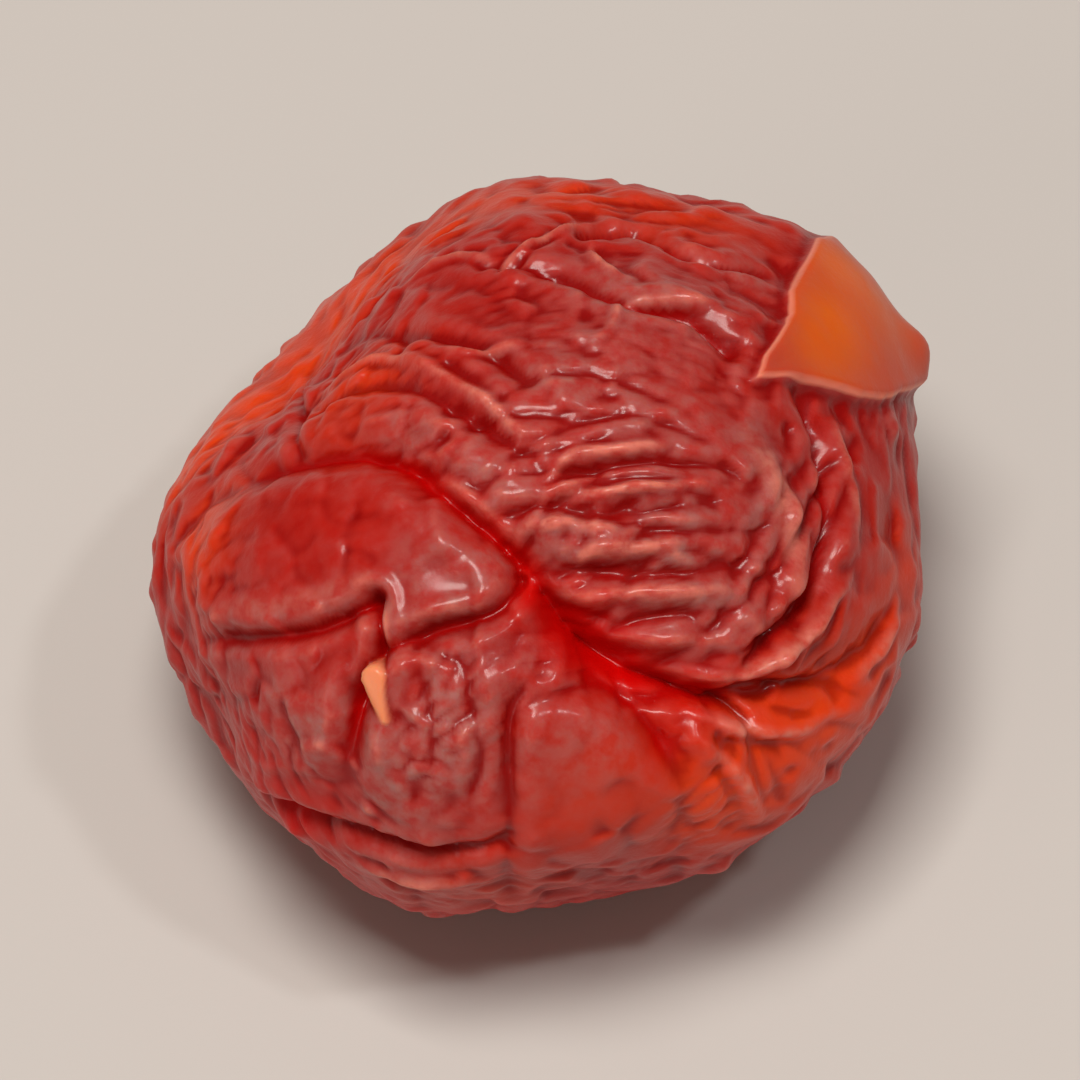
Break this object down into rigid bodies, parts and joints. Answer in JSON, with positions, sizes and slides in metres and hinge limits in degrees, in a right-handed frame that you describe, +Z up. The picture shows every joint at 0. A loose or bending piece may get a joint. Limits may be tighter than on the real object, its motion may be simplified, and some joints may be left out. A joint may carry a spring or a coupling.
{
  "type": "dried cherry",
  "caption": "Pitted, sugared and dried cherry: a squat wrinkled fruit with a deep curled crease, lying on a small flat spot.",
  "frame": {"origin": "on the ground, under the middle of the fruit's box", "axes": "+Z up from the flat spot, -Y towards the front, where the navel of the deep crease looks up and out, +X to the right"},
  "size_m": [0.021, 0.022, 0.017],
  "materials": {
    "candied_skin": "wet gloss of dried sugar syrup over wrinkled translucent skin"
  },
  "bodies": {
    "root": {"dried_cherry": "candied_skin"}
  },
  "joints": []
}
